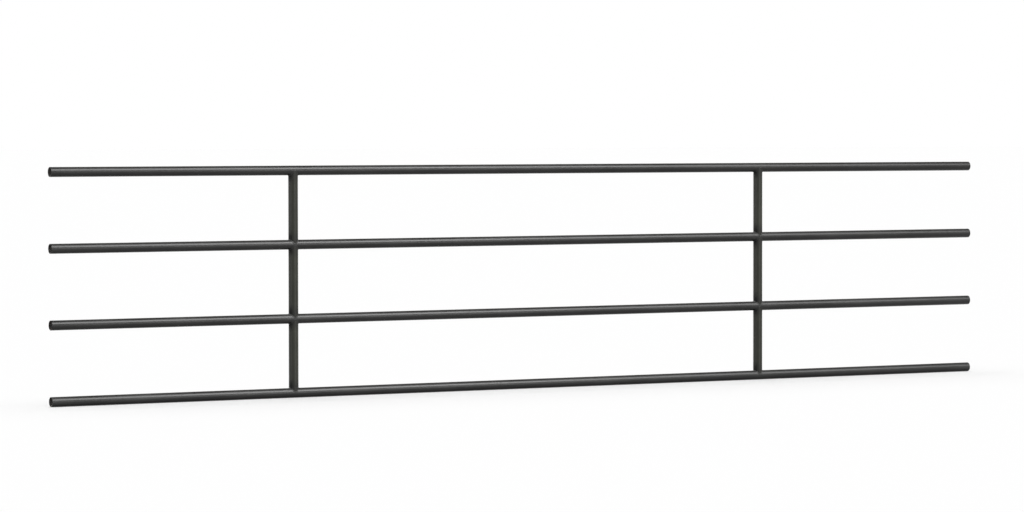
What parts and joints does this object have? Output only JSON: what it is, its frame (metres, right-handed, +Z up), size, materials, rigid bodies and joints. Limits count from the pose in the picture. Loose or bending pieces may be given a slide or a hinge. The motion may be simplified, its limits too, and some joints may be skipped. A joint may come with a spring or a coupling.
{
  "type": "continuous fence panel",
  "caption": "Long welded livestock fence panel: round horizontal tube rails with open ends, joined by vertical tube stays that are coped between the rails and welded.",
  "frame": {"origin": "on the ground line under the bottom rail, at mid length and at the middle of the panel's depth", "axes": "+X along the rails to the right as the picture shows the panel, +Y through the panel to its back, +Z up"},
  "size_m": [5.73, 0.0528, 1.219],
  "materials": {
    "painted_tube": "satin charcoal paint over drawn steel tube, a little orange peel and road dust",
    "painted_weld": "the same satin charcoal paint over a rippled weld bead"
  },
  "bodies": {
    "root": {"top_rail": "painted_tube", "upper_middle_rail": "painted_tube", "lower_middle_rail": "painted_tube", "bottom_rail": "painted_tube", "left_stay_upper": "painted_tube", "left_stay_middle": "painted_tube", "left_stay_lower": "painted_tube", "right_stay_upper": "painted_tube", "right_stay_middle": "painted_tube", "right_stay_lower": "painted_tube", "left_stay_upper_top_weld": "painted_weld", "left_stay_upper_bottom_weld": "painted_weld", "left_stay_middle_top_weld": "painted_weld", "left_stay_middle_bottom_weld": "painted_weld", "left_stay_lower_top_weld": "painted_weld", "left_stay_lower_bottom_weld": "painted_weld", "right_stay_upper_top_weld": "painted_weld", "right_stay_upper_bottom_weld": "painted_weld", "right_stay_middle_top_weld": "painted_weld", "right_stay_middle_bottom_weld": "painted_weld", "right_stay_lower_top_weld": "painted_weld", "right_stay_lower_bottom_weld": "painted_weld"}
  },
  "joints": []
}
